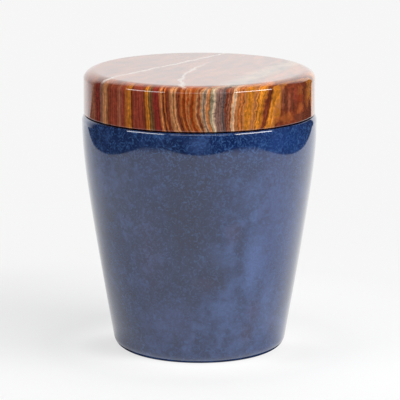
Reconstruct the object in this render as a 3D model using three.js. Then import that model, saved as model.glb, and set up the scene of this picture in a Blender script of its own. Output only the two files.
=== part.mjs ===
// A lidded funeral urn, turned in stone: a hollow tapered body in clouded blue,
// closed by a thick disc lid in banded brown onyx that rests on the rim and lifts off.
// Millimetres, +Z up, origin at the centre of the underside.
import * as THREE from "three";

// Body
const BODY_DIAMETER = 200;
const BODY_HEIGHT = 202.5;
const WALL_THICKNESS = 10;
const FLOOR_THICKNESS = 12;
const WALL_TAPER = 0.18; // run over rise of the straight lower wall
const SHOULDER_HEIGHT = 197; // where the wall stands upright and the rim starts to round over
const SHOULDER_BLEND = 8.5; // how softly the taper rolls into the upright shoulder
const FOOT_ROUNDING = 11.5; // lower outside edge
const RIM_ROUNDING = 8.5; // upper outside edge, cut off by the level rim
const RIM_EDGE = 0.6; // rounding between that and the level rim
const MOUTH_ROUNDING = 1.5; // upper inside edge
const INSIDE_CORNER = 14; // hollow's lower corner

// Lid
const LID_DIAMETER = 197;
const LID_HEIGHT = 38;
const LID_CROWN_WIDTH = 10.6; // the soft upper edge, measured inwards
const LID_CROWN_DROP = 7.6; // the soft upper edge, measured downwards
const LID_RELIEF_WIDTH = 5; // the lower edge, rounded under so that a dark seam shows, measured inwards
const LID_RELIEF_RISE = 1.8; // the same, measured upwards
const REGISTER_DEPTH = 6; // the step under the lid that centres it in the mouth
const REGISTER_CLEARANCE = 1; // between the step and the mouth, all round
const REGISTER_ROUNDING = 1;
const SEAT_GAP = 0.3; // between the lid's underside and the rim

// Fineness of the turned surfaces
const SIDES = 72;
const WALL_STEPS = 12;
const CORNER_STEPS = 5;
const EDGE_STEPS = 2;
const MOUTH_STEPS = 3;
const CROWN_STEPS = 8;

const QUARTER_TURN = Math.PI / 2;
const taperAngle = Math.atan(WALL_TAPER);
const bodyRadius = BODY_DIAMETER / 2;
const lidRadius = LID_DIAMETER / 2;
const mouthRadius = bodyRadius - WALL_THICKNESS;
const registerRadius = mouthRadius - REGISTER_CLEARANCE;

// Outside radius of the body at a height: one branch of a hyperbola, upright at the shoulder
// and running out into the straight taper below it.
function wallRadius(height) {
  const below = Math.max(SHOULDER_HEIGHT - height, 0);
  return bodyRadius + SHOULDER_BLEND - Math.hypot(SHOULDER_BLEND, WALL_TAPER * below);
}

// Points of a corner in the (radius, height) plane: an elliptical arc between two angles.
function corner(centre, width, drop, from, to, steps = CORNER_STEPS) {
  return Array.from({ length: steps + 1 }, (_, i) => {
    const angle = from + ((to - from) * i) / steps;
    return new THREE.Vector2(centre[0] + width * Math.cos(angle), centre[1] + drop * Math.sin(angle));
  });
}

// Points of the wall between two heights, moved inwards by an amount.
function wall(from, to, inwards) {
  return Array.from({ length: WALL_STEPS + 1 }, (_, i) => {
    const height = from + ((to - from) * i) / WALL_STEPS;
    return new THREE.Vector2(wallRadius(height) - inwards, height);
  });
}

// Centre of a round lower corner that runs from a level floor up into the tapered wall.
function lowerCorner(floor, rounding, inwards) {
  const top = floor + rounding * (1 - Math.sin(taperAngle));
  const radius = wallRadius(top) - inwards - rounding * Math.cos(taperAngle);
  return { top, centre: [radius, floor + rounding] };
}

// A closed solid turned about the Z axis from a profile that starts and ends on it.
function turned(name, profile, material) {
  const geometry = new THREE.LatheGeometry(profile, SIDES);
  geometry.rotateX(QUARTER_TURN);
  const mesh = new THREE.Mesh(geometry, material);
  mesh.name = name;
  return mesh;
}

// From the middle of the underside out, up the wall, over the rim and down to the floor inside.
function bodyProfile() {
  const foot = lowerCorner(0, FOOT_ROUNDING, 0);
  const inside = lowerCorner(FLOOR_THICKNESS, INSIDE_CORNER, WALL_THICKNESS);
  const rimCentre = [bodyRadius - RIM_ROUNDING, SHOULDER_HEIGHT];
  const rimReach = RIM_ROUNDING - RIM_EDGE;
  const edgeTop = BODY_HEIGHT - RIM_EDGE;
  const rimTurn = Math.asin((edgeTop - SHOULDER_HEIGHT) / rimReach);
  const edgeCentre = [rimCentre[0] + rimReach * Math.cos(rimTurn), edgeTop];
  const mouthTop = BODY_HEIGHT - MOUTH_ROUNDING;
  const mouthCentre = [mouthRadius + MOUTH_ROUNDING, mouthTop];
  return [
    new THREE.Vector2(0, 0),
    ...corner(foot.centre, FOOT_ROUNDING, FOOT_ROUNDING, -QUARTER_TURN, -taperAngle),
    ...wall(foot.top, SHOULDER_HEIGHT, 0).slice(1),
    ...corner(rimCentre, RIM_ROUNDING, RIM_ROUNDING, 0, rimTurn).slice(1),
    ...corner(edgeCentre, RIM_EDGE, RIM_EDGE, rimTurn, QUARTER_TURN, EDGE_STEPS).slice(1),
    ...corner(mouthCentre, MOUTH_ROUNDING, MOUTH_ROUNDING, QUARTER_TURN, Math.PI, MOUTH_STEPS),
    ...wall(mouthTop, inside.top, WALL_THICKNESS).slice(1),
    ...corner(inside.centre, INSIDE_CORNER, INSIDE_CORNER, -taperAngle, -QUARTER_TURN).slice(1),
    new THREE.Vector2(0, FLOOR_THICKNESS),
  ];
}

// From the middle of the centring step out to the seat, up the side and over the crown,
// with height zero at the seat.
function lidProfile() {
  const stepCentre = [registerRadius - REGISTER_ROUNDING, REGISTER_ROUNDING - REGISTER_DEPTH];
  const lowerCentre = [lidRadius - LID_RELIEF_WIDTH, LID_RELIEF_RISE];
  const crownCentre = [lidRadius - LID_CROWN_WIDTH, LID_HEIGHT - LID_CROWN_DROP];
  return [
    new THREE.Vector2(0, -REGISTER_DEPTH),
    ...corner(stepCentre, REGISTER_ROUNDING, REGISTER_ROUNDING, -QUARTER_TURN, 0),
    new THREE.Vector2(registerRadius, 0),
    ...corner(lowerCentre, LID_RELIEF_WIDTH, LID_RELIEF_RISE, -QUARTER_TURN, 0),
    ...corner(crownCentre, LID_CROWN_WIDTH, LID_CROWN_DROP, 0, QUARTER_TURN, CROWN_STEPS),
    new THREE.Vector2(0, LID_HEIGHT),
  ];
}

const blueStone = new THREE.MeshStandardMaterial({ color: "#27406f", roughness: 0.12, metalness: 0 });
const bandedOnyx = new THREE.MeshStandardMaterial({ color: "#8a4a24", roughness: 0.1, metalness: 0 });

const urn = new THREE.Group();
urn.add(turned("urn_body", bodyProfile(), blueStone));

const lid = turned("lid", lidProfile(), bandedOnyx);
lid.position.z = BODY_HEIGHT + SEAT_GAP;
urn.add(lid);

export default urn;
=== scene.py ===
"""The looks of a lidded funeral urn: a tapered body in polished blue stone under a lid of banded onyx.

Both pieces are turned again here, finer than the solids of the frame and to the same sizes, and stand in
for them. Lengths are metres unless a name or comment says otherwise. +Z is up, and the camera looks
along +Y.
"""

import math
from collections import namedtuple

import bmesh
import bpy
from bpy.props import FloatProperty, FloatVectorProperty, IntProperty, PointerProperty
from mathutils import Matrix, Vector


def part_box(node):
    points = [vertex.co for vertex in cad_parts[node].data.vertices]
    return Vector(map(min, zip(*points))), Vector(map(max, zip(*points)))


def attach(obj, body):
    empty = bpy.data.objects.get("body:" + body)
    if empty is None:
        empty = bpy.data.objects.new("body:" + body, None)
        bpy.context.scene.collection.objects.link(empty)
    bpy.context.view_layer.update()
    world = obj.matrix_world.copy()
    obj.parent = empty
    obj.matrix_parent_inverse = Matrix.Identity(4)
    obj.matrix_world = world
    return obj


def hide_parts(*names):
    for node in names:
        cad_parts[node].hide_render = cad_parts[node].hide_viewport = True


bl_info = {
    "name": "Funeral urn",
    "version": (1, 0, 0),
    "blender": (4, 5, 0),
    "location": "3D View > Sidebar > Urn",
    "description": "Builds a polished stone urn with a banded onyx lid, and a small studio round it",
    "category": "Add Mesh",
}

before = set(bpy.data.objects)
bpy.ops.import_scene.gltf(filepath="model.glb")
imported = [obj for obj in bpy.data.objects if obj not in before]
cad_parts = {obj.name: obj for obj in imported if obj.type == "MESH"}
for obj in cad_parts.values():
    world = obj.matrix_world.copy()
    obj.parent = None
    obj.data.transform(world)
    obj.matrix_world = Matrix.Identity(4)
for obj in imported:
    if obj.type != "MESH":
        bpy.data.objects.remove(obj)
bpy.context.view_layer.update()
BODY_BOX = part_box("urn_body")
LID_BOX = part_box("lid")
MM = 0.001
QUARTER_TURN = math.pi / 2


# Settings


def linear(colour):
    """An sRGB hex colour as linear red, green and blue."""
    shares = [int(colour[i : i + 2], 16) / 255 for i in (1, 3, 5)]
    return [s / 12.92 if s <= 0.04045 else ((s + 0.055) / 1.055) ** 2.4 for s in shares]


def colour(name, description, default):
    """A colour property whose default is given as sRGB hex."""
    return FloatVectorProperty(
        name=name, description=description, default=linear(default), subtype="COLOR", min=0, max=1
    )


def number(name, description, default, **settings):
    """A number property, plain unless a unit or subtype is given."""
    return FloatProperty(name=name, description=description, default=default, **settings)


def length(name, description, default):
    """A length property whose default is given in metres."""
    return number(name, description, default, unit="LENGTH", precision=4)


def point(name, description, default):
    """A place property whose default is given in metres."""
    return FloatVectorProperty(name=name, description=description, default=default, unit="LENGTH")


class UrnShape(bpy.types.PropertyGroup):
    """Sizes of the two turned pieces."""

    body_radius: length("Body radius", "Greatest outside radius", BODY_BOX[1].x)
    body_height: length("Body height", "Height of the rim", BODY_BOX[1].z)
    wall: length("Wall", "Thickness of the body's wall", 10 * MM)
    floor: length("Floor", "Thickness of the body's floor", 12 * MM)
    taper: number("Taper", "Run over rise of the straight lower wall", 0.18)
    shoulder: length("Shoulder", "Where the wall stands upright and the rim starts to round over", 197 * MM)
    blend: length("Shoulder blend", "How softly the taper rolls into the shoulder", 8.5 * MM)
    foot: length("Foot rounding", "Radius of the lower outside edge", 11.5 * MM)
    rim: length("Rim rounding", "Radius of the upper outside edge, cut off by the level rim", 8.5 * MM)
    rim_edge: length("Rim edge", "Radius of the edge between the rounding and the level rim", 0.6 * MM)
    mouth: length("Mouth rounding", "Radius of the upper inside edge", 1.5 * MM)
    inside: length("Inside corner", "Radius of the hollow's lower corner", 14 * MM)
    lid_radius: length("Lid radius", "Outside radius of the lid", LID_BOX[1].x)
    lid_top: length("Lid top", "Height of the lid's flat top", LID_BOX[1].z)
    crown_width: length("Crown width", "Soft upper edge, measured inwards", 10.6 * MM)
    crown_drop: length("Crown drop", "Soft upper edge, measured downwards", 7.6 * MM)
    edge_width: length("Edge width", "Relief under the lid's lower edge, measured inwards", 5 * MM)
    edge_rise: length("Edge rise", "Relief under the lid's lower edge, measured upwards", 1.8 * MM)
    seat: length("Seat gap", "Gap between the lid and the rim", 0.3 * MM)
    step_foot: length("Step foot", "Underside of the lid's centring step", LID_BOX[0].z)
    step_gap: length("Step gap", "Gap between the step and the mouth", 1 * MM)
    step_edge: length("Step edge", "Radius of the step's lower edge", 1 * MM)
    sides: IntProperty(name="Sides", description="Facets round each turned piece", default=256, min=64)


class BlueStone(bpy.types.PropertyGroup):
    """Finish of the body."""

    deep: colour("Deep blue", "The stone's darkest blue", "#0c173c")
    middle: colour("Middle blue", "The stone's common blue", "#1c315f")
    pale: colour("Pale blue", "Milky clouds", "#5069a3")
    azure: colour("Azure", "Fine flecks", "#41679f")
    navy: colour("Navy", "Dark saturated clouds", "#051f52")
    royal: colour("Royal blue", "Clear saturated clouds", "#1a4288")
    rose: colour("Rose", "Faint mauve clouds", "#4d3a58")
    cloud: length("Cloud size", "Width of the large clouds", 60 * MM)
    mottle: length("Mottle size", "Width of the small clouds", 9 * MM)
    fleck: length("Fleck size", "Width of the curly flecks", 4 * MM)


class BandedOnyx(bpy.types.PropertyGroup):
    """Finish of the lid."""

    oxblood: colour("Oxblood", "Dark red layers", "#8f2f26")
    rust: colour("Rust", "Red-brown layers", "#a04430")
    burnt: colour("Burnt orange", "Dark orange layers", "#983a10")
    umber: colour("Umber", "Dark brown layers", "#833b23")
    chestnut: colour("Chestnut", "Middle brown layers", "#a8654a")
    olive: colour("Olive", "Dull green-brown edges", "#7f5832")
    ochre: colour("Ochre", "Golden brown layers", "#b8642d")
    gold: colour("Gold", "Golden layers", "#d07e28")
    amber: colour("Amber", "Clear golden layers", "#d98529")
    honey: colour("Honey", "Orange-tan lines", "#d08149")
    tan: colour("Tan", "Light brown layers", "#d38f5c")
    cream: colour("Cream", "Pale lines", "#d8b898")
    taupe: colour("Taupe", "Grey-brown layers", "#af9076")
    sage: colour("Sage", "Grey-green layers", "#aa9c7e")
    plum: colour("Plum", "Grey-red layers", "#946d61")
    slate: colour("Slate", "Dark grey-brown layers", "#725c57")
    bistre: colour("Bistre", "Darkest brown patches", "#6a3a28")
    heart: colour("Heart", "The even stone in the middle of the block", "#a65b38")
    vein: colour("Vein", "Pale veins in the heart", "#f0dfd0")
    facing: number(
        "Layer direction",
        "Direction that the layers face, round from the front to the right",
        math.radians(56),
        subtype="ANGLE",
    )
    ripple: length("Ripple", "How far the layers wander to either side", 1.3 * MM)
    line: length("Line width", "Width of the fine growth lines", 1.1 * MM)


class Studio(bpy.types.PropertyGroup):
    """Stage, lights and camera."""

    paper: colour("Paper", "The white paper that the urn stands on", "#f2f2f2")
    evenness: number("Evenness", "Share of the paper's white near the urn that no shadow dims", 0.55)
    sweep_half: length("Sweep half width", "From the middle of the white paper sweep to its sides", 0.72)
    sweep_front: length("Sweep front", "How far the sweep reaches in front of the urn", 0.745)
    sweep_back: length("Sweep back", "How far behind the urn the sweep turns up", 0.95)
    sweep_flare: length("Sweep flare", "How much wider the sweep is at the back, on its left", 0.08)
    sweep_square: number("Sweep squareness", "Exponent of the front edge's outline: 2 is an ellipse", 8)
    sweep_light: number("Sweep light", "Brightness of the upright part", 0.98)
    wall_half: length("Wall half width", "Where the lit wall starts to fade sideways", 0.75)
    wall_reach: length("Wall reach", "Where the lit wall ends sideways", 1.5)
    wall_high: length("Wall height", "Where the lit wall starts to fade upwards", 1.2)
    wall_top: length("Wall top", "Where the lit wall ends upwards", 2.6)
    box_long: length("Softbox length", "Level side of each softbox", 0.95)
    box_wide: length("Softbox width", "Upright side of each softbox", 0.24)
    strip_long: length("Strip length", "Level side of the faint strip between the softboxes", 1.5)
    left_power: number("Left power", "Left softbox", 3.6, unit="POWER")
    right_power: number("Right power", "Right softbox", 5.6, unit="POWER")
    front_power: number("Front power", "Faint strip between the softboxes", 1.8, unit="POWER")
    fill_power: number("Fill power", "Large soft fill light", 25.0, unit="POWER")
    over_power: number("Overhead power", "Large soft light above", 20.0, unit="POWER")
    fill_size: length("Fill size", "Side of the large soft fill light", 2.2)
    over_size: length("Overhead size", "Side of the large soft light above", 1.5)
    room: number("Room", "Brightness of the dim room round the table", 0.03)
    eye: point("Camera place", "Where the camera stands", (0, -2.516, 0.643))
    aim: point("Camera aim", "The point in the picture's middle", (0.0005, 0, 0.127))
    lens: number("Lens", "Focal length on a 36 mm sensor, in millimetres", 270, unit="CAMERA")


# Turned forms

CORNER_STEPS = 12
CROWN_STEPS = 24
WALL_STEPS = 64
FLAT_STEPS = 8
# Straight runs end this far from a corner, so that its bend doesn't reach into their smooth shading.
MARGIN = 0.2 * MM


def evenly(start, stop, steps):
    """Values from a start to a stop in even steps."""
    return [start + (stop - start) * i / steps for i in range(steps + 1)]


def arc(centre, width, drop, start, stop, steps=CORNER_STEPS):
    """Points of an elliptical corner in the (radius, height) plane between two angles."""
    angles = evenly(start, stop, steps)
    return [(centre[0] + width * math.cos(a), centre[1] + drop * math.sin(a)) for a in angles]


def wall_radius(shape, height):
    """Outside radius of the body: a hyperbola, upright at the shoulder and straight far below it."""
    below = max(shape.shoulder - height, 0)
    return shape.body_radius + shape.blend - math.hypot(shape.blend, shape.taper * below)


def wall_points(shape, low, high, inwards):
    """Points up the body's wall, moved inwards by an amount, between two corners."""
    heights = evenly(low + MARGIN, high - MARGIN, WALL_STEPS)
    return [(wall_radius(shape, h) - inwards, h) for h in heights]


def flat_points(radius, height):
    """Points of a level disc from its middle out to a corner at a radius."""
    return [(r, height) for r in evenly(0, radius - MARGIN, FLAT_STEPS)]


def lower_corner(shape, floor, rounding, inwards):
    """Top and centre of a round corner that runs from a level floor up into the tapered wall."""
    lean = math.atan(shape.taper)
    top = floor + rounding * (1 - math.sin(lean))
    radius = wall_radius(shape, top) - inwards - rounding * math.cos(lean)
    return top, (radius, floor + rounding)


def body_profile(shape):
    """From the middle of the underside out, up the wall, over the rim and down to the floor inside."""
    lean = math.atan(shape.taper)
    foot_top, foot = lower_corner(shape, 0, shape.foot, 0)
    inside_top, inside = lower_corner(shape, shape.floor, shape.inside, shape.wall)
    rim = (shape.body_radius - shape.rim, shape.shoulder)
    edge_height = shape.body_height - shape.rim_edge
    rim_turn = math.asin((edge_height - rim[1]) / (shape.rim - shape.rim_edge))
    edge = (rim[0] + (shape.rim - shape.rim_edge) * math.cos(rim_turn), edge_height)
    mouth = (shape.body_radius - shape.wall + shape.mouth, shape.body_height - shape.mouth)
    return [
        *flat_points(foot[0], 0),
        *arc(foot, shape.foot, shape.foot, -QUARTER_TURN, -lean),
        *wall_points(shape, foot_top, rim[1], 0),
        *arc(rim, shape.rim, shape.rim, 0, rim_turn),
        *arc(edge, shape.rim_edge, shape.rim_edge, rim_turn, QUARTER_TURN)[1:],
        *arc(mouth, shape.mouth, shape.mouth, QUARTER_TURN, math.pi),
        *reversed(wall_points(shape, inside_top, mouth[1], shape.wall)),
        *arc(inside, shape.inside, shape.inside, -lean, -QUARTER_TURN),
        *reversed(flat_points(inside[0], shape.floor)),
    ]


def lid_profile(shape):
    """From the middle of the centring step out to the seat, up the side and over the crown."""
    seat = shape.body_height + shape.seat
    step_radius = shape.body_radius - shape.wall - shape.step_gap
    step = (step_radius - shape.step_edge, shape.step_foot + shape.step_edge)
    lower = (shape.lid_radius - shape.edge_width, seat + shape.edge_rise)
    crown = (shape.lid_radius - shape.crown_width, shape.lid_top - shape.crown_drop)
    return [
        *flat_points(step[0], shape.step_foot),
        *arc(step, shape.step_edge, shape.step_edge, -QUARTER_TURN, 0),
        (step_radius, seat),
        *arc(lower, shape.edge_width, shape.edge_rise, -QUARTER_TURN, 0),
        (shape.lid_radius, lower[1] + MARGIN),
        (shape.lid_radius, crown[1] - MARGIN),
        *arc(crown, shape.crown_width, shape.crown_drop, 0, QUARTER_TURN, CROWN_STEPS),
        *reversed(flat_points(crown[0], shape.lid_top)),
    ]


def turn(name, profile, sides, material):
    """A closed smooth solid turned about Z from (radius, height) points that start and end on the axis."""
    form = bmesh.new()
    rings = []
    for radius, height in profile:
        count = sides if radius > 0 else 1
        angles = [2 * math.pi * i / count for i in range(count)]
        rings.append([form.verts.new((radius * math.cos(a), radius * math.sin(a), height)) for a in angles])
    for low, high in zip(rings, rings[1:]):
        for i in range(sides):
            j = i + 1
            corners = (low[i % len(low)], low[j % len(low)], high[j % len(high)], high[i % len(high)])
            # At the axis two corners are one point, and the face is a triangle.
            form.faces.new(dict.fromkeys(corners)).smooth = True
    mesh = bpy.data.meshes.new(name)
    form.to_mesh(mesh)
    form.free()
    mesh.materials.append(material)
    piece = bpy.data.objects.new(name, mesh)
    bpy.context.scene.collection.objects.link(piece)
    return piece


# Materials

# Settings of a Mix node that mixes colours, and of a Map Range node that eases in and out
COLOUR_MIX = {"output": 2, "data_type": "RGBA"}
SMOOTH = {"interpolation_type": "SMOOTHSTEP"}

# Both stones take the same polish and seal: roughness of their hardest and softest grains, how far these
# stand apart in height and how much of that shows, and the clear seal. Only their refraction differs.
SMOOTHEST = 0.03
ROUGHEST = 0.09
RELIEF = 0.05 * MM
RELIEF_STRENGTH = 0.06
SEAL = {"Coat Weight": 1.0, "Coat Roughness": 0.03, "Coat IOR": 1.5}
BLUE_STONE_IOR = 1.54
ONYX_IOR = 1.57


def add(tree, kind, inputs=(), output=0, stops=(), **settings):
    """Adds a shader node with its settings, sets or links its inputs, and returns one output.

    The inputs are given by name or number, or as a list in their order.
    """
    made = tree.nodes.new("ShaderNode" + kind)
    for name, value in settings.items():
        setattr(made, name, value)
    named = inputs.items() if isinstance(inputs, dict) else enumerate(inputs)
    for name, value in named:
        if isinstance(value, bpy.types.NodeSocket):
            tree.links.new(value, made.inputs[name])
        else:
            made.inputs[name].default_value = value
    if stops:
        elements = made.color_ramp.elements
        elements.remove(elements[1])
        elements[0].position = stops[0][0]
        for place, _ in stops[1:]:
            elements.new(place)
        for element, (_, shade) in zip(elements, stops):
            element.color = (*shade, 1)
    return made.outputs[output]


def new_material(name):
    """An empty node material, with its tree and its Principled shader."""
    material = bpy.data.materials.new(name)
    material.use_nodes = True
    return material, material.node_tree, material.node_tree.nodes["Principled BSDF"]


def resurface(tree, shader, surface):
    """Puts another surface in the place of a material's Principled shader."""
    tree.nodes.remove(shader)
    tree.links.new(surface, tree.nodes["Material Output"].inputs["Surface"])


def far_from(tree, value, centre):
    """How far a value is from a centre, to either side."""
    value = add(tree, "Math", [value, centre], operation="SUBTRACT")
    return add(tree, "Math", [value], operation="ABSOLUTE")


def in_ovals(tree, place, centre, half_sizes):
    """Distance from a centre in shares of an oval's half sizes: 1 at its edge."""
    away = add(tree, "VectorMath", [place, centre], operation="SUBTRACT")
    away = add(tree, "VectorMath", [away, [1 / half for half in half_sizes]], operation="MULTIPLY")
    return add(tree, "VectorMath", [away], output="Value", operation="LENGTH")


def grains(tree, place, sizes, output=0, **texture):
    """Cloudy grains drawn out to the given sizes."""
    drawn = add(tree, "VectorMath", [place, [1 / size for size in sizes]], operation="MULTIPLY")
    return add(tree, "TexNoise", {"Vector": drawn, "Scale": 1.0, **texture}, output=output)


def polish_and_seal(tree, shader, shade, grain, hardest, softest, ior):
    """Gives a stone its colour, the polish that its harder and softer grains take, and a clear seal."""
    gloss = add(
        tree,
        "MapRange",
        {"Value": grain, "From Min": hardest, "From Max": softest, "To Min": SMOOTHEST, "To Max": ROUGHEST},
    )
    relief = add(tree, "Bump", {"Height": grain, "Strength": RELIEF_STRENGTH, "Distance": RELIEF})
    for name, value in (("Base Color", shade), ("Roughness", gloss), ("Normal", relief)):
        tree.links.new(value, shader.inputs[name])
    for name, value in {"IOR": ior, **SEAL}.items():
        shader.inputs[name].default_value = value


# Soft clouds that show in the blue stone, as (tone, azimuth from the front in degrees, height in mm,
# half width and half height in mm, strength)
CLOUDS = (
    ("pale", 0, 193, 13, 9, 0.6),
    ("navy", 8, 190, 40, 12, 0.35),
    ("navy", 14, 195, 20, 15, 0.85),
    ("deep", -14, 191, 16, 11, 0.65),
    ("deep", -5, 115, 30, 75, 0.75),
    ("rose", 18, 117, 9, 12, 0.35),
    ("pale", 32, 90, 14, 44, 0.85),
    ("deep", 8, 80, 17, 22, 0.55),
    ("rose", 40, 130, 18, 90, 0.2),
    ("pale", 42, 130, 17, 90, 0.25),
    ("pale", 18, 45, 22, 26, 0.25),
    ("rose", 53, 30, 9, 16, 0.25),
    ("rose", 4, 72, 16, 8, 0.2),
    ("royal", 45, 190, 52, 16, 0.55),
    ("royal", 52, 105, 42, 100, 0.5),
    ("rose", -28, 95, 16, 60, 0.2),
    ("rose", -18, 38, 30, 24, 0.14),
    ("pale", -18, 38, 34, 26, 0.22),
    ("pale", 28, 146, 16, 24, 0.28),
    ("royal", 78, 180, 40, 24, 0.5),
    ("royal", 62, 12, 36, 24, 0.45),
    ("pale", 43, 48, 11, 38, 0.45),
    ("rose", 35, 45, 9, 15, 0.28),
    ("rose", 31, 26, 9, 13, 0.26),
    ("deep", 13, 70, 7, 8, 0.4),
)
# Heights between which the flecks, painted fainter lower down as if veiled by the mirrored white table, grow
# clear below the rim
FLECKS_DIM = 170 * MM
FLECKS_CLEAR = 190 * MM


def polished_blue_stone(finish, shape):
    """Clouded blue stone, turned, polished and sealed.

    The polish lets the eye into soft clouds and small curly flecks, and the clear glassy seal over it
    mirrors the white table.
    """
    material, tree, shader = new_material("polished_clouded_blue_stone")
    place = add(tree, "TexCoord", output="Object")
    textures = (
        (finish.cloud, {"Detail": 2.0, "Roughness": 0.5, "Distortion": 0.7}),
        (finish.mottle, {"Detail": 3.0, "Roughness": 0.55, "Distortion": 0.5}),
        (finish.fleck, {"Detail": 3.0, "Roughness": 0.6, "Distortion": 2.0}),
    )
    clouds, mottle, flecks = [
        add(tree, "TexNoise", {"Vector": place, "Scale": 1 / size, **texture}) for size, texture in textures
    ]
    coarse = add(tree, "Mix", {0: 0.5, 2: clouds, 3: mottle})
    blues = [(0.26, finish.deep), (0.5, finish.middle), (0.82, finish.pale)]
    blue = add(tree, "ValToRGB", {"Fac": coarse}, stops=blues)
    for tone, azimuth, height, wide, high, strength in CLOUDS:
        angle = math.radians(azimuth)
        radius = wall_radius(shape, height * MM)
        centre = (radius * math.sin(angle), -radius * math.cos(angle), height * MM)
        cloud = in_ovals(tree, place, centre, (wide * MM, wide * MM, high * MM))
        # The small clouds fray its edge, and the flecks, a half on average, break up its tone.
        cloud = add(tree, "Math", [mottle, -0.5, cloud], operation="MULTIPLY_ADD")
        cloud = add(
            tree,
            "MapRange",
            {"Value": cloud, "From Min": 0.95, "From Max": -0.15, "To Max": 2 * strength},
            **SMOOTH,
        )
        cloud = add(tree, "Math", [cloud, flecks], operation="MULTIPLY")
        blue = add(tree, "Mix", {0: cloud, 6: blue, 7: (*getattr(finish, tone), 1)}, **COLOUR_MIX)
    # Painted reflection: lower down the flecks are painted fainter, as if the mirrored white table veiled
    # them, and they show fully in the band under the rim.
    height = add(tree, "SeparateXYZ", [place], output="Z")
    clear = add(
        tree, "MapRange", {"Value": height, "From Min": FLECKS_DIM, "From Max": FLECKS_CLEAR, "To Min": 0.55}
    )
    crisp = add(tree, "MapRange", {"Value": flecks, "From Min": 0.48, "From Max": 0.7, "To Max": clear})
    blue = add(tree, "Mix", {0: crisp, 6: blue, 7: (*finish.azure, 1)}, **COLOUR_MIX)
    # They differ a little in hardness, so the polish leaves them a trace rougher and proud.
    polish_and_seal(tree, shader, blue, flecks, hardest=0.3, softest=0.7, ior=BLUE_STONE_IOR)
    return material


# Layers of the onyx, from the back left of the lid to its front right, as (tone, thickness in mm), in
# runs that a colour ramp can hold
LAYER_RUNS = (
    (
        ("rust", 14), ("umber", 5), ("honey", 4), ("rust", 11), ("ochre", 3), ("oxblood", 7),
        ("chestnut", 10), ("oxblood", 7.5), ("umber", 2.5), ("tan", 8), ("umber", 2), ("rust", 12),
        ("chestnut", 1.5), ("rust", 4), ("ochre", 3), ("gold", 4),
    ),
    (
        ("umber", 1.5), ("rust", 10.5), ("umber", 1.8), ("gold", 3.7), ("olive", 3), ("oxblood", 7.6),
        ("honey", 1.5), ("umber", 1.7), ("ochre", 0.6), ("umber", 3.4), ("tan", 5.2), ("umber", 2.5),
        ("ochre", 2), ("burnt", 1.5), ("honey", 1.3),
    ),
    (
        ("burnt", 0.8), ("honey", 0.9), ("burnt", 2.2), ("ochre", 2.1), ("tan", 1.2), ("umber", 1.2),
        ("tan", 1.3), ("taupe", 3), ("honey", 2.2), ("sage", 2.1), ("cream", 0.6), ("plum", 5.1),
        ("slate", 2), ("umber", 1), ("chestnut", 2),
    ),
    (
        ("umber", 0.5), ("tan", 0.8), ("cream", 1), ("honey", 3), ("ochre", 1.2), ("honey", 1.1),
        ("amber", 4.4), ("honey", 0.9), ("amber", 3.6), ("umber", 1.9), ("amber", 2.5), ("honey", 0.3),
        ("gold", 0.5), ("ochre", 0.5), ("umber", 0.8),
    ),
    (("umber", 6),),
)
# Where the first layer starts, in mm across the layers, and the share of a layer that is soft at each edge
FIRST_LAYER = -100
LAYER_SOFTNESS = 0.26
# Ragged patches round a knot, where the cut runs along the last layer, as (tone, place along the layer,
# height over the lid's middle, half width and half height in mm, strength)
PATCHES = (
    ("chestnut", -20, 8, 2, 12, 0.6),
    ("bistre", -16, 4, 2, 10, 0.7),
    ("chestnut", -12, 0, 1.5, 9, 0.5),
    ("bistre", -7, 3, 3, 8, 0.6),
    ("rust", -3, 6, 3, 6, 0.7),
    ("ochre", -16, -11, 9, 4, 0.65),
    ("ochre", 4, 9, 5, 4, 0.6),
    ("burnt", 4, 2, 5, 4, 0.6),
    ("ochre", 5, -6, 5, 4, 0.6),
    ("ochre", 15, 3, 3, 7, 0.7),
    ("bistre", 5, -14, 10, 4, 0.7),
)
# More places in the onyx, in mm across the layers: the knot and how deep it goes, where the cut starts to
# run flat along the layers, where they are thinnest, the grey ones, and the middle of the clear front
KNOT = 98
KNOT_DEPTH = 12
FLAT_CUT = 93
THINNEST = 55
GREY = 67
FRONT = 40
# Radii in mm between which the stripes of the side give way to the heart of the block, and its cover there
STRIPES_END = 97
HEART_STARTS = 90
HEART_COVER = 0.88
# How far the thinnest layers bow, in mm, over half the lid's height in mm
BOW = 3.1
HALF_LID = 19
# Sizes in mm of the knot's stirred stone and how far it is stirred, and of the clouds and spots
STIR_SIZE = 5
STIR_REACH = 9
HEART_CLOUD = (9, 26, 1)
SPOT_SIZE = 3.2
# How far the layers fan out on the top: mm across for each mm along, and what each mm across adds to it
FAN = 0.0435
FAN_GROWTH = 0.0023
# Where the first vein lies across the fan, in mm, and the course of the second: its place to the right of
# the lid's middle in mm, its slope, and its bend per mm
VEIN = -31.5
CROSSING = -4.4
CROSSING_SLOPE = 0.31
CROSSING_BEND = 0.0023
# Darkest and lightest of the growth lines
LINE_DARK = 0.35
LINE_LIGHT = 1.35
# Where a point is in the onyx, in mm: its plan and radius, how far it is in the heart as a share, and its
# place across the layers, along them and over the lid's middle, singly and together
Grain = namedtuple("Grain", "flat radius deep across along height place")


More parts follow.
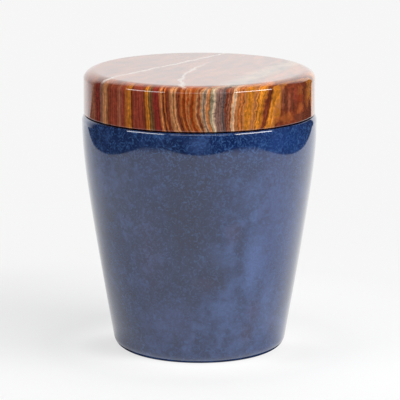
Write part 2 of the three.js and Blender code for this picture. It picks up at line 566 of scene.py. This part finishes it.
def onyx_grain(tree, finish, shape):
    """Where a point is in the onyx, along the axes of the layers."""
    place = add(tree, "TexCoord", output="Object")
    sine = math.sin(finish.facing)
    cosine = math.cos(finish.facing)
    ways = ((sine, -cosine, 0), (cosine, sine, 0))
    flat = add(tree, "VectorMath", [place, (1 / MM, 1 / MM, 0)], operation="MULTIPLY")
    radius = add(tree, "VectorMath", [flat], output="Value", operation="LENGTH")
    # Over the crown the stripes of the side run on inwards, and give way to the heart of the block,
    # sooner at the sides than in front.
    aside = add(tree, "VectorMath", [flat, ways[0]], output="Value", operation="DOT_PRODUCT")
    aside = far_from(tree, aside, FRONT)
    sooner = add(tree, "MapRange", {"Value": aside, "From Min": 45, "From Max": 57, "To Max": 3})
    deep = add(tree, "Math", [radius, sooner], operation="SUBTRACT")
    deep = add(tree, "MapRange", {"Value": deep, "From Min": STRIPES_END, "From Max": HEART_STARTS}, **SMOOTH)
    drawn_out = add(tree, "Math", [shape.lid_radius / MM, radius], operation="DIVIDE")
    drawn_out = add(tree, "Mix", {0: deep, 2: drawn_out, 3: 1.0})
    plan = add(tree, "VectorMath", {0: flat, "Scale": drawn_out}, operation="SCALE")
    across, along = [
        add(tree, "VectorMath", [plan, way], output="Value", operation="DOT_PRODUCT") for way in ways
    ]
    middle = (shape.body_height + shape.lid_top) / 2
    height = add(tree, "SeparateXYZ", [place], output="Z")
    height = add(tree, "Math", [height, 1 / MM, -middle / MM], operation="MULTIPLY_ADD")
    together = add(tree, "CombineXYZ", {"X": across, "Y": along, "Z": height})
    return Grain(flat, radius, deep, across, along, height, together)


def onyx_layer(tree, finish, grain):
    """Place across the layers as they grew, before they were leaned, bowed and rippled."""
    across = grain.across
    # The layers lean one way and then the other, and bow where they are thinnest.
    swing = add(tree, "MapRange", {"Value": across, "From Min": -5, "From Max": 100, "To Max": 1.5 * math.pi})
    swing = add(tree, "Math", [swing], operation="SINE")
    lean = add(tree, "Math", [swing, grain.height], operation="MULTIPLY")
    slope = add(tree, "MapRange", {"Value": across, "From Min": 97.8, "From Max": 96, "To Max": 0.12})
    layer = add(tree, "Math", [lean, slope, across], operation="MULTIPLY_ADD")
    bow = far_from(tree, across, THINNEST)
    bow = add(
        tree,
        "MapRange",
        {"Value": bow, "From Min": 32, "From Max": 4, "To Max": -BOW / HALF_LID**2},
        **SMOOTH,
    )
    square = add(tree, "Math", [grain.height, grain.height], operation="MULTIPLY")
    layer = add(tree, "Math", [bow, square, layer], operation="MULTIPLY_ADD")
    # They ripple and fray, more so where they are thin, and where the cut runs flat along them it draws
    # them out into upright streaks.
    reach = add(
        tree, "MapRange", {"Value": across, "From Min": 5, "From Max": 45, "To Min": 1.7, "To Max": 3}
    )
    calm = add(
        tree, "MapRange", {"Value": across, "From Min": 90, "From Max": 97, "To Min": 1, "To Max": 0.35}
    )
    reach = add(tree, "Math", [reach, calm], operation="MULTIPLY")
    streaks = add(tree, "MapRange", {"Value": across, "From Min": FLAT_CUT, "From Max": 97, "To Max": 4})
    for sizes, strength, share in (
        ((14, 11, 20), reach, 1.0),
        ((2, 4, 4), reach, 0.55),
        ((40, 5, 45), streaks, 1.0),
    ):
        ripple = grains(tree, grain.place, sizes, Detail=2.0, Roughness=0.5)
        ripple = add(tree, "Math", [ripple, 0.5], operation="SUBTRACT")
        ripple = add(tree, "Math", [ripple, share * finish.ripple / MM], operation="MULTIPLY")
        layer = add(tree, "Math", [ripple, strength, layer], operation="MULTIPLY_ADD")
    return layer


def layer_stops(finish, layers):
    """Ramp stops for a run of layers: each is even in its middle and soft for a share of its edges."""
    total = sum(thickness for _, thickness in layers)
    stops = []
    start = 0
    for tone, thickness in layers:
        shade = getattr(finish, tone)
        stops.append(((start + thickness * LAYER_SOFTNESS) / total, shade))
        stops.append(((start + thickness * (1 - LAYER_SOFTNESS)) / total, shade))
        start += thickness
    return stops


def onyx_stripes(tree, finish, grain, layer):
    """Colours of the layers, run after run, with the ragged patches round the knot."""
    start = FIRST_LAYER
    banded = None
    for run in LAYER_RUNS:
        stop = start + sum(thickness for _, thickness in run)
        share = add(tree, "MapRange", {"Value": layer, "From Min": start, "From Max": stop})
        shades = add(tree, "ValToRGB", {"Fac": share}, stops=layer_stops(finish, run))
        if banded:
            past = add(tree, "Math", [layer, start], operation="GREATER_THAN")
            shades = add(tree, "Mix", {0: past, 6: banded, 7: shades}, **COLOUR_MIX)
        banded = shades
        start = stop
    stir = grains(tree, grain.place, [STIR_SIZE] * 3, output="Color", Detail=3.0, Roughness=0.65)
    stir = add(tree, "VectorMath", [stir, [0.5] * 3], operation="SUBTRACT")
    stir = add(tree, "VectorMath", [stir, [STIR_REACH] * 3, grain.place], operation="MULTIPLY_ADD")
    for tone, along, height, wide, high, strength in PATCHES:
        patch = in_ovals(tree, stir, (KNOT, along, height), (KNOT_DEPTH, wide, high))
        patch = add(tree, "MapRange", {"Value": patch, "From Min": 1.3, "From Max": 0.7, "To Max": strength})
        banded = add(tree, "Mix", {0: patch, 6: banded, 7: (*getattr(finish, tone), 1)}, **COLOUR_MIX)
    return banded


def onyx_heart(tree, finish, grain, layer):
    """Colours of the heart of the block, seen on the top, where the layers fan out."""
    fan = add(tree, "Math", [grain.across, FAN_GROWTH, FAN], operation="MULTIPLY_ADD")
    fan = add(tree, "Math", [fan, grain.along, layer], operation="MULTIPLY_ADD")
    waver = add(tree, "TexNoise", {"Vector": grain.flat, "Scale": 1 / 16, "Detail": 3.0})
    waver = add(tree, "MapRange", {"Value": waver, "To Min": -5, "To Max": 5})
    fan = add(tree, "Math", [fan, waver], operation="ADD")
    heart = add(tree, "MapRange", {"Value": fan, "From Min": -100, "From Max": 100})
    browns = [
        (0.72, finish.heart),
        (0.775, finish.taupe),
        (0.81, finish.taupe),
        (0.85, finish.ochre),
        (0.91, finish.ochre),
        (0.96, finish.umber),
    ]
    heart = add(tree, "ValToRGB", {"Fac": heart}, stops=browns)
    # Dull clouds, drawn out along the layers, drift through it.
    drift = add(tree, "CombineXYZ", {"X": fan, "Y": grain.along})
    drift = grains(tree, drift, HEART_CLOUD, Detail=5.0, Distortion=0.8)
    drift = add(
        tree, "MapRange", {"Value": drift, "From Min": 0.3, "From Max": 0.7, "To Min": 0.35, "To Max": 1.65}
    )
    heart = add(tree, "VectorMath", {0: heart, "Scale": drift}, operation="SCALE")
    # One vein runs along the layers. A second one crosses them in a bend and fades behind the middle.
    side, behind = [add(tree, "SeparateXYZ", [grain.flat], output=axis) for axis in "XY"]
    bend = add(tree, "Math", [behind, CROSSING_BEND, CROSSING_SLOPE], operation="MULTIPLY_ADD")
    bend = add(tree, "Math", [behind, bend, CROSSING], operation="MULTIPLY_ADD")
    wander = add(tree, "TexNoise", {"Vector": grain.flat, "Scale": 1 / 14, "Detail": 2.0})
    wander = add(tree, "MapRange", {"Value": wander, "To Min": -6, "To Max": 6})
    bend = add(tree, "Math", [bend, wander], operation="ADD")
    fade = add(tree, "MapRange", {"Value": behind, "From Min": 50, "From Max": 0, "To Max": 0.8})
    for place, course, wide, strength in ((fan, VEIN, 2.2, 0.95), (side, bend, 2.6, fade)):
        vein = far_from(tree, place, course)
        vein = add(
            tree, "MapRange", {"Value": vein, "From Min": wide, "From Max": 0.4, "To Max": strength}, **SMOOTH
        )
        heart = add(tree, "Mix", {0: vein, 6: heart, 7: (*finish.vein, 1)}, **COLOUR_MIX)
    return heart


def crown_painted_light(tree, grain, heart_share):
    """Painted light on the crown: the stone is painted brighter in front, where light from above seems to
    glow in the clearer layers.
    """
    glow = add(tree, "MapRange", {"Value": grain.across, "From Min": -20, "From Max": 10, "To Max": 0.5})
    dull = add(tree, "MapRange", {"Value": grain.across, "From Min": 96, "From Max": 70})
    edge = add(tree, "MapRange", {"Value": grain.radius, "From Min": 98, "From Max": 95.5})
    for share in (dull, edge):
        glow = add(tree, "Math", [glow, share], operation="MULTIPLY")
    glow = add(tree, "Mix", {0: heart_share, 2: glow, 3: 0.0})
    return add(tree, "Math", [glow, 1.0], operation="ADD")


def growth_lines(tree, finish, layer):
    """Brightness of the fine lines that follow the layers."""
    line = add(tree, "Math", [layer, MM / finish.line], operation="MULTIPLY")
    line = add(
        tree, "TexNoise", {"W": line, "Scale": 1.0, "Detail": 3.0, "Roughness": 0.7}, noise_dimensions="1D"
    )
    return add(
        tree,
        "MapRange",
        {"Value": line, "From Min": 0.3, "From Max": 0.7, "To Min": LINE_DARK, "To Max": LINE_LIGHT},
    )


def onyx_shading(tree, grain, line, heart_share):
    """Brightness of the growth lines, of fibres along the layers and of small clouds that dull them."""
    # They are faint in the heart and where the cut runs along the layers.
    even = add(tree, "MapRange", {"Value": grain.across, "From Min": FLAT_CUT, "From Max": 96, "To Max": 0.6})
    faint = add(tree, "Math", [heart_share, 0.75], operation="MULTIPLY")
    even = add(tree, "Math", [even, faint], operation="MAXIMUM")
    shading = add(tree, "Mix", {0: even, 2: line, 3: 0.88})
    for sizes, least, most in (((1.3, 8, 18), 0.75, 1.25), ((2.5, 3, 3), 0.7, 1.3)):
        fibre = grains(tree, grain.place, sizes, Detail=3.0)
        fibre = add(
            tree,
            "MapRange",
            {"Value": fibre, "From Min": 0.3, "From Max": 0.7, "To Min": least, "To Max": most},
        )
        fibre = add(tree, "Mix", {0: faint, 2: fibre, 3: 1.0})
        shading = add(tree, "Math", [shading, fibre], operation="MULTIPLY")
    # Dark spots gather in the grey layers.
    spots = add(
        tree, "TexNoise", {"Vector": grain.place, "Scale": 1 / SPOT_SIZE, "Detail": 1.0, "Distortion": 0.6}
    )
    spots = add(
        tree, "MapRange", {"Value": spots, "From Min": 0.6, "From Max": 0.7, "To Min": 1, "To Max": 0.5}
    )
    grey = far_from(tree, grain.across, GREY)
    grey = add(tree, "MapRange", {"Value": grey, "From Min": 12, "From Max": 7})
    spots = add(tree, "Mix", {0: grey, 2: 1.0, 3: spots})
    return add(tree, "Math", [shading, spots], operation="MULTIPLY")


def polished_banded_onyx(finish, shape):
    """Onyx marble, sawn through its upright layers, turned to a disc, polished and sealed.

    The cut shows the layers as crooked stripes down the side. Towards the heart of the block they run
    together, so the top is an even rust with pale veins, under a clear glassy seal.
    """
    material, tree, shader = new_material("polished_banded_onyx")
    grain = onyx_grain(tree, finish, shape)
    layer = onyx_layer(tree, finish, grain)
    banded = onyx_stripes(tree, finish, grain, layer)
    heart = onyx_heart(tree, finish, grain, layer)
    heart_share = add(tree, "Math", [grain.deep, HEART_COVER], operation="MULTIPLY")
    stone = add(tree, "Mix", {0: heart_share, 6: banded, 7: heart}, **COLOUR_MIX)
    line = growth_lines(tree, finish, layer)
    # Painted light on the crown, then the shading of the growth lines, fibres and spots.
    for bright in (crown_painted_light(tree, grain, heart_share), onyx_shading(tree, grain, line, heart_share)):
        stone = add(tree, "VectorMath", {0: stone, "Scale": bright}, operation="SCALE")
    # The softer growth lines, which are the darker ones, polish a trace rougher and lower.
    polish_and_seal(tree, shader, stone, line, hardest=LINE_LIGHT, softest=LINE_DARK, ior=ONYX_IOR)
    return material


# Parts of the urn's soft shadow, which is painted on the floor and on the mirrored table, as (centre, radius
# where it is darkest and radius where it ends, share of the darkness), and that darkness on the floor and on
# the mirrored table
SHADOW_SPOTS = (
    ((-0.17, 0.06, 0), 0.08, 0.28, 1),
    ((-0.055, -0.005, 0), 0.022, 0.06, 2),
    ((0.075, -0.03, 0), 0.01, 0.05, 0.8),
)
FLOOR_SHADOW = 0.08
TABLE_SHADOW = 0.18
# Brightness of the far paper
ROOM_LIGHT = 1.06


def painted_urn_shadow(tree, place, darkness):
    """Brightness of the paper in the urn's painted soft shadow: wide on the left, and darker at the foot."""
    shadow = None
    for centre, near, far, share in SHADOW_SPOTS:
        spot = add(tree, "VectorMath", [place, centre], output="Value", operation="DISTANCE")
        dim = 1 - darkness * share
        spot = add(
            tree, "MapRange", {"Value": spot, "From Min": near, "From Max": far, "To Min": dim}, **SMOOTH
        )
        shadow = add(tree, "Math", [spot, shadow], operation="MULTIPLY") if shadow else spot
    return shadow


def white_paper(studio, shape):
    """Matt white paper: evenly white far off, and near the urn partly lit and shaded by the lamps, partly
    painted.
    """
    material, tree, shader = new_material("matt_white_paper")
    place = add(tree, "TexCoord", output="Object")
    away = add(tree, "VectorMath", [place], output="Value", operation="LENGTH")
    share = add(
        tree,
        "MapRange",
        {"Value": away, "From Min": 0.15, "From Max": 0.6, "To Min": studio.evenness},
        **SMOOTH,
    )
    # Near the urn the paper is mostly painted even white, standing in for light that comes in under the
    # flared body from all round; under the foot it keeps the lamps' own shading.
    near = add(tree, "MapRange", {"Value": away, "From Min": 0.2, "From Max": 0.08, "To Max": 0.9})
    share = add(tree, "Math", [share, near], operation="MAXIMUM")
    foot = lower_corner(shape, 0, shape.foot, 0)[1][0]
    open_sky = add(tree, "MapRange", {"Value": away, "From Min": foot + 1 * MM, "From Max": foot + 3 * MM})
    share = add(tree, "Math", [share, open_sky], operation="MULTIPLY")
    # Painted light and shade: the paper is painted a little brighter towards the urn and in front of it, and
    # darker in the urn's soft shadow.
    glow = add(
        tree, "MapRange", {"Value": away, "From Min": 0.15, "From Max": 0.3, "To Min": 1.13, "To Max": 1.04}
    )
    behind = add(tree, "SeparateXYZ", [place], output="Y")
    front = add(tree, "MapRange", {"Value": behind, "From Min": -0.1, "From Max": 0, "To Min": 1.05})
    for bright in (front, painted_urn_shadow(tree, place, FLOOR_SHADOW)):
        glow = add(tree, "Math", [glow, bright], operation="MULTIPLY")
    lit = add(tree, "BsdfDiffuse", {"Color": (*studio.paper, 1)})
    even = add(tree, "Emission", {"Color": (*studio.paper, 1), "Strength": glow})
    resurface(tree, shader, add(tree, "MixShader", {0: share, 1: lit, 2: even}))
    return material


def white_table(studio, shape):
    """The same paper as the polish mirrors it, a glowing sheet with painted light and shade: brighter to the
    right, where the stronger lamp is.
    """
    material, tree, shader = new_material("mirrored_white_table")
    place = add(tree, "TexCoord", output="Object")
    right, behind = [add(tree, "SeparateXYZ", [place], output=axis) for axis in "XY"]
    # Painted light and shade: darker to the left, most of all behind the urn, and brighter far behind it.
    left = add(
        tree, "MapRange", {"Value": behind, "From Min": -0.1, "From Max": 0.1, "To Min": 0.8, "To Max": 0.58}
    )
    bright = add(
        tree, "MapRange", {"Value": right, "From Min": -0.6, "From Max": 0.3, "To Min": left, "To Max": 0.99}
    )
    rear = add(
        tree, "MapRange", {"Value": behind, "From Min": 0.3, "From Max": 0.9, "To Min": 1, "To Max": 1.4}
    )
    bright = add(tree, "Math", [bright, rear], operation="MULTIPLY")
    bright = add(tree, "Math", [bright, 1.0], operation="MINIMUM")
    # Painted shade: under the rounded foot it is painted dark, a little further out at the sides than in
    # front.
    around = add(tree, "VectorMath", [place, (1, 1.06, 1)], operation="MULTIPLY")
    away = add(tree, "VectorMath", [around], output="Value", operation="LENGTH")
    foot = wall_radius(shape, 0)
    lit = add(tree, "MapRange", {"Value": away, "From Min": foot + 0.4 * MM, "From Max": foot + 1.4 * MM})
    # Its front corners are painted dim, and the urn's soft shadow is painted on it.
    corners = add(tree, "VectorMath", [place, (1, 0, 0)], operation="MINIMUM")
    corners = add(tree, "VectorMath", [corners], output="Value", operation="LENGTH")
    corners = add(tree, "MapRange", {"Value": corners, "From Min": 0.92, "From Max": 0.76})
    for share in (lit, painted_urn_shadow(tree, place, TABLE_SHADOW), corners):
        bright = add(tree, "Math", [bright, share], operation="MULTIPLY")
    resurface(tree, shader, add(tree, "Emission", {"Color": (*studio.paper, 1), "Strength": bright}))
    return material


def white_wall(studio):
    """The paper behind the urn, a glowing sheet with painted light: a little brighter to the right, fading
    towards its sides and top.
    """
    material, tree, shader = new_material("painted_light_white_paper")
    place = add(tree, "TexCoord", output="Object")
    right, height = [add(tree, "SeparateXYZ", [place], output=axis) for axis in "XZ"]
    bright = add(
        tree, "MapRange", {"Value": right, "From Min": -0.1, "From Max": 0.35, "To Min": 1, "To Max": 1.12}
    )
    aside = add(tree, "Math", [right], operation="ABSOLUTE")
    for value, start, stop in (
        (aside, studio.wall_half, studio.wall_reach),
        (height, studio.wall_high, studio.wall_top),
    ):
        fade = add(tree, "MapRange", {"Value": value, "From Min": stop, "From Max": start})
        bright = add(tree, "Math", [bright, fade], operation="MULTIPLY")
    bright = add(tree, "Math", [bright, studio.sweep_light], operation="MULTIPLY")
    resurface(tree, shader, add(tree, "Emission", {"Color": (*studio.paper, 1), "Strength": bright}))
    return material


def pale_room(studio):
    """The far paper round the urn, evenly lit."""
    material, tree, shader = new_material("pale_room")
    resurface(tree, shader, add(tree, "Emission", {"Color": (*studio.paper, 1), "Strength": ROOM_LIGHT}))
    return material


# Stage

RAYS = ("camera", "diffuse", "glossy", "shadow")
FLOOR_HALF = 7.0
# Keeps the floor clear of the urn's underside.
FLOOR_DROP = 0.2 * MM
SWEEP_STEPS = 64
# The wall's lower right part is cut away, so the dim room shows there: how low the wall goes, and where its
# cut top starts and ends on the right
WALL_FOOT = -0.02
SCREEN_START = 0.5
SCREEN_END = 1
ROOM_RADIUS = 12
ROOM_FINENESS = 4
LAMP_AIM = (0, 0, 0.2)
SOFTBOX_PLACE = (1.07, -0.53, 1.24)
SOFTBOX_TILT = math.radians(18)
STRIP_PLACE = (0, -1.13, 1.49)
FILL_PLACE = (1.4, -1.2, 1.7)
OVERHEAD_PLACE = (0, 0.01, 2)
CAMERA_SIGHT = 50


def stage_piece(name, mesh, material, seen_by):
    """Puts a mesh on the stage, seen only by the named kinds of ray."""
    mesh.materials.append(material)
    piece = bpy.data.objects.new(name, mesh)
    for kind in RAYS:
        setattr(piece, "visible_" + kind, kind in seen_by)
    bpy.context.scene.collection.objects.link(piece)


def stage_sheet(name, outline, material, seen_by):
    """Puts a flat sheet with an outline of points on the stage."""
    mesh = bpy.data.meshes.new(name)
    mesh.from_pydata(outline, [], [range(len(outline))])
    stage_piece(name, mesh, material, seen_by)


def lamp(name, power, wide, high):
    """A flat lamp with the given sides."""
    made = bpy.data.lights.new(name, "AREA")
    made.shape = "RECTANGLE"
    made.size = wide
    made.size_y = high
    made.energy = power
    return made


def aimed(thing, place, aim):
    """Puts a lamp or camera at a place, looking at a point, out of the camera's sight."""
    made = bpy.data.objects.new(thing.name, thing)
    made.location = place
    made.rotation_euler = (Vector(aim) - Vector(place)).to_track_quat("-Z", "Y").to_euler()
    made.visible_camera = False
    bpy.context.scene.collection.objects.link(made)
    return made


def lay_paper(studio, shape):
    """Lays the floor, and the table and wall of the white paper sweep that the polish mirrors."""
    corners = ((-1, -1), (1, -1), (1, 1), (-1, 1))
    floor = [(x * FLOOR_HALF, y * FLOOR_HALF, -FLOOR_DROP) for x, y in corners]
    stage_sheet("floor", floor, white_paper(studio, shape), ("camera", "diffuse"))

    half = studio.sweep_half
    back = studio.sweep_back
    square = studio.sweep_square
    table = [(half, back, 0), (-half - studio.sweep_flare, back, 0), (-half, back / 2, 0)]
    for angle in evenly(math.pi, 2 * math.pi, SWEEP_STEPS):
        bulge = abs(math.cos(angle)) ** square + abs(math.sin(angle)) ** square
        reach = bulge ** (-1 / square)
        table.append((half * reach * math.cos(angle), studio.sweep_front * reach * math.sin(angle), 0))
    stage_sheet("white_table", table, white_table(studio, shape), ("glossy",))

    reach = studio.wall_reach
    outline = (
        (-reach, WALL_FOOT),
        (half, WALL_FOOT),
        (half, SCREEN_START),
        (reach, SCREEN_END),
        (reach, studio.wall_top),
        (-reach, studio.wall_top),
    )
    wall = [(x, back, z) for x, z in outline]
    stage_sheet("backdrop", wall, white_wall(studio), ("glossy", "diffuse"))


def close_room(scene, studio):
    """Puts the pale room that the camera sees round the stage, and the dim light of the real one."""
    dome = bpy.data.meshes.new("pale_room")
    form = bmesh.new()
    bmesh.ops.create_icosphere(form, subdivisions=ROOM_FINENESS, radius=ROOM_RADIUS)
    form.to_mesh(dome)
    form.free()
    stage_piece("pale_room", dome, pale_room(studio), ("camera",))
    world = bpy.data.worlds.new("dim_room")
    world.use_nodes = True
    background = world.node_tree.nodes["Background"]
    background.inputs["Color"].default_value = (1, 1, 1, 1)
    background.inputs["Strength"].default_value = studio.room
    scene.world = world


def hang_lamps(studio):
    """Hangs the softboxes and the strip that the polish mirrors, and two large lights that it doesn't."""
    for side, power in ((-1, studio.left_power), (1, studio.right_power)):
        place = (side * SOFTBOX_PLACE[0], *SOFTBOX_PLACE[1:])
        box = aimed(lamp("softbox", power, studio.box_long, studio.box_wide), place, LAMP_AIM)
        box.rotation_euler.rotate_axis("Z", -side * SOFTBOX_TILT)
    strip = lamp("front_strip", studio.front_power, studio.strip_long, studio.box_wide)
    aimed(strip, STRIP_PLACE, LAMP_AIM)
    for name, power, size, place in (
        ("fill", studio.fill_power, studio.fill_size, FILL_PLACE),
        ("overhead", studio.over_power, studio.over_size, OVERHEAD_PLACE),
    ):
        aimed(lamp(name, power, size, size), place, LAMP_AIM).visible_glossy = False


class URN_OT_body(bpy.types.Operator):
    """Turns the hollow body in polished blue stone"""

    bl_idname = "urn.body"
    bl_label = "Urn body"

    def execute(self, context):
        scene = context.scene
        shape = scene.urn_shape
        stone = polished_blue_stone(scene.urn_blue_stone, shape)
        body = turn("polished_body", body_profile(shape), shape.sides, stone)
        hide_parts("urn_body")
        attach(body, "root")
        return {"FINISHED"}


class URN_OT_lid(bpy.types.Operator):
    """Turns the lid in banded onyx, where it rests on the rim"""

    bl_idname = "urn.lid"
    bl_label = "Urn lid"

    def execute(self, context):
        scene = context.scene
        shape = scene.urn_shape
        onyx = polished_banded_onyx(scene.urn_banded_onyx, shape)
        lid = turn("polished_lid", lid_profile(shape), shape.sides, onyx)
        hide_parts("lid")
        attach(lid, "root")
        return {"FINISHED"}


class URN_OT_stage(bpy.types.Operator):
    """Sets the white floor, the table and wall that the polish mirrors, the lamps and the camera"""

    bl_idname = "urn.stage"
    bl_label = "Studio"

    def execute(self, context):
        scene = context.scene
        studio = scene.urn_studio
        lay_paper(studio, scene.urn_shape)
        close_room(scene, studio)
        hang_lamps(studio)
        camera = bpy.data.cameras.new("camera")
        camera.lens = studio.lens
        camera.clip_end = CAMERA_SIGHT
        scene.camera = aimed(camera, studio.eye, studio.aim)
        scene.view_settings.view_transform = "Standard"
        return {"FINISHED"}


class URN_PT_panel(bpy.types.Panel):
    """Lists the urn's pieces in the sidebar"""

    bl_label = "Urn"
    bl_space_type = "VIEW_3D"
    bl_region_type = "UI"
    bl_category = "Urn"

    def draw(self, context):
        for operator in (URN_OT_body, URN_OT_lid, URN_OT_stage):
            self.layout.operator(operator.bl_idname)


SETTINGS = {
    "urn_shape": UrnShape,
    "urn_blue_stone": BlueStone,
    "urn_banded_onyx": BandedOnyx,
    "urn_studio": Studio,
}
CLASSES = (*SETTINGS.values(), URN_OT_body, URN_OT_lid, URN_OT_stage, URN_PT_panel)


def register():
    """Makes the settings, operators and panel known to Blender."""
    for made in CLASSES:
        bpy.utils.register_class(made)
    for name, kind in SETTINGS.items():
        setattr(bpy.types.Scene, name, PointerProperty(type=kind))


def unregister():
    """Takes the settings, operators and panel away again."""
    for name in SETTINGS:
        delattr(bpy.types.Scene, name)
    for made in reversed(CLASSES):
        bpy.utils.unregister_class(made)


def main():
    """Builds the urn and its studio."""
    register()
    bpy.ops.urn.body()
    bpy.ops.urn.lid()
    bpy.ops.urn.stage()


if __name__ == "__main__":
    main()
